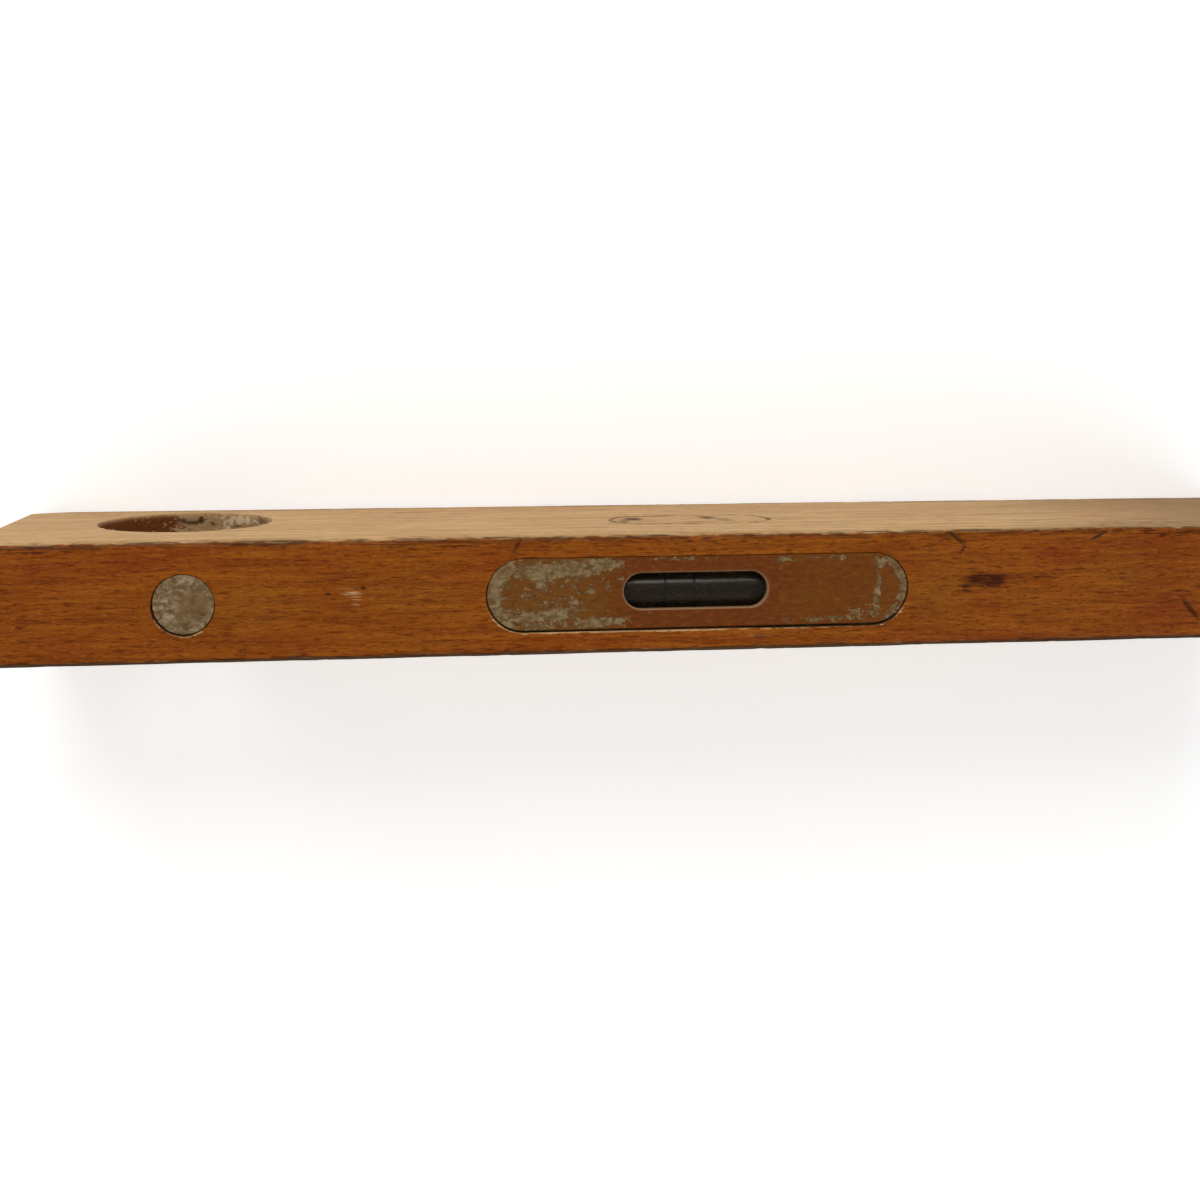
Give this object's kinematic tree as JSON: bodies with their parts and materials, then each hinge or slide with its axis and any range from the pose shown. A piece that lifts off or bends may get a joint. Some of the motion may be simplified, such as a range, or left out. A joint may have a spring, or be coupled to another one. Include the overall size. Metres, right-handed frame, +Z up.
{
  "type": "spirit level",
  "caption": "Wooden spirit level with a level vial under an inlaid metal window plate in its top edge and a plumb vial crossing a round sight hole.",
  "frame": {"origin": "middle of the working face, the underside that is laid on the work", "axes": "+X along the stock towards the sight hole, +Y through its thickness, +Z up out of the top edge that holds the cover plate"},
  "size_m": [0.3, 0.026, 0.06],
  "materials": {
    "beech": "worn orange-brown varnish, bare tan wood on the broad sides",
    "plate_paint": "brown varnish flaking off oxidised metal",
    "spike_steel": "plain",
    "vial_glass": "clear, slightly dusty",
    "vial_liquid": "clear liquid, faintly straw coloured",
    "bubble": "air in liquid",
    "index_ink": "black ink lines",
    "plaster": "matt plaster",
    "disc_metal": "dull, mottled with oxide"
  },
  "bodies": {
    "level_body": {"stock": "beech", "cover_plate": "plate_paint", "cover_plate_spikes": "spike_steel", "level_vial_glass": "vial_glass", "level_vial_liquid": "vial_liquid", "level_vial_index_lines": "index_ink", "level_vial_bed_plumb_end": "plaster", "level_vial_bed_plain_end": "plaster", "plumb_vial_glass": "vial_glass", "plumb_vial_liquid": "vial_liquid", "plumb_vial_index_lines": "index_ink", "plumb_vial_bed_top": "plaster", "plumb_vial_bed_bottom": "plaster", "plumb_bore_disc": "disc_metal"},
    "level_bubble": {"level_vial_bubble": "bubble"},
    "plumb_bubble": {"plumb_vial_bubble": "bubble"}
  },
  "joints": [
    {"name": "level_bubble_slide", "type": "slide", "parent": "level_body", "child": "level_bubble", "axis": [1, 0, 0], "range_m": [-0.02, 0.02], "stiffness_N_per_m": 0.05},
    {"name": "plumb_bubble_slide", "type": "slide", "parent": "level_body", "child": "plumb_bubble", "axis": [0, 0, 1], "range_m": [-0.0365, 0], "stiffness_N_per_m": 1, "springref_m": 0.02}
  ]
}
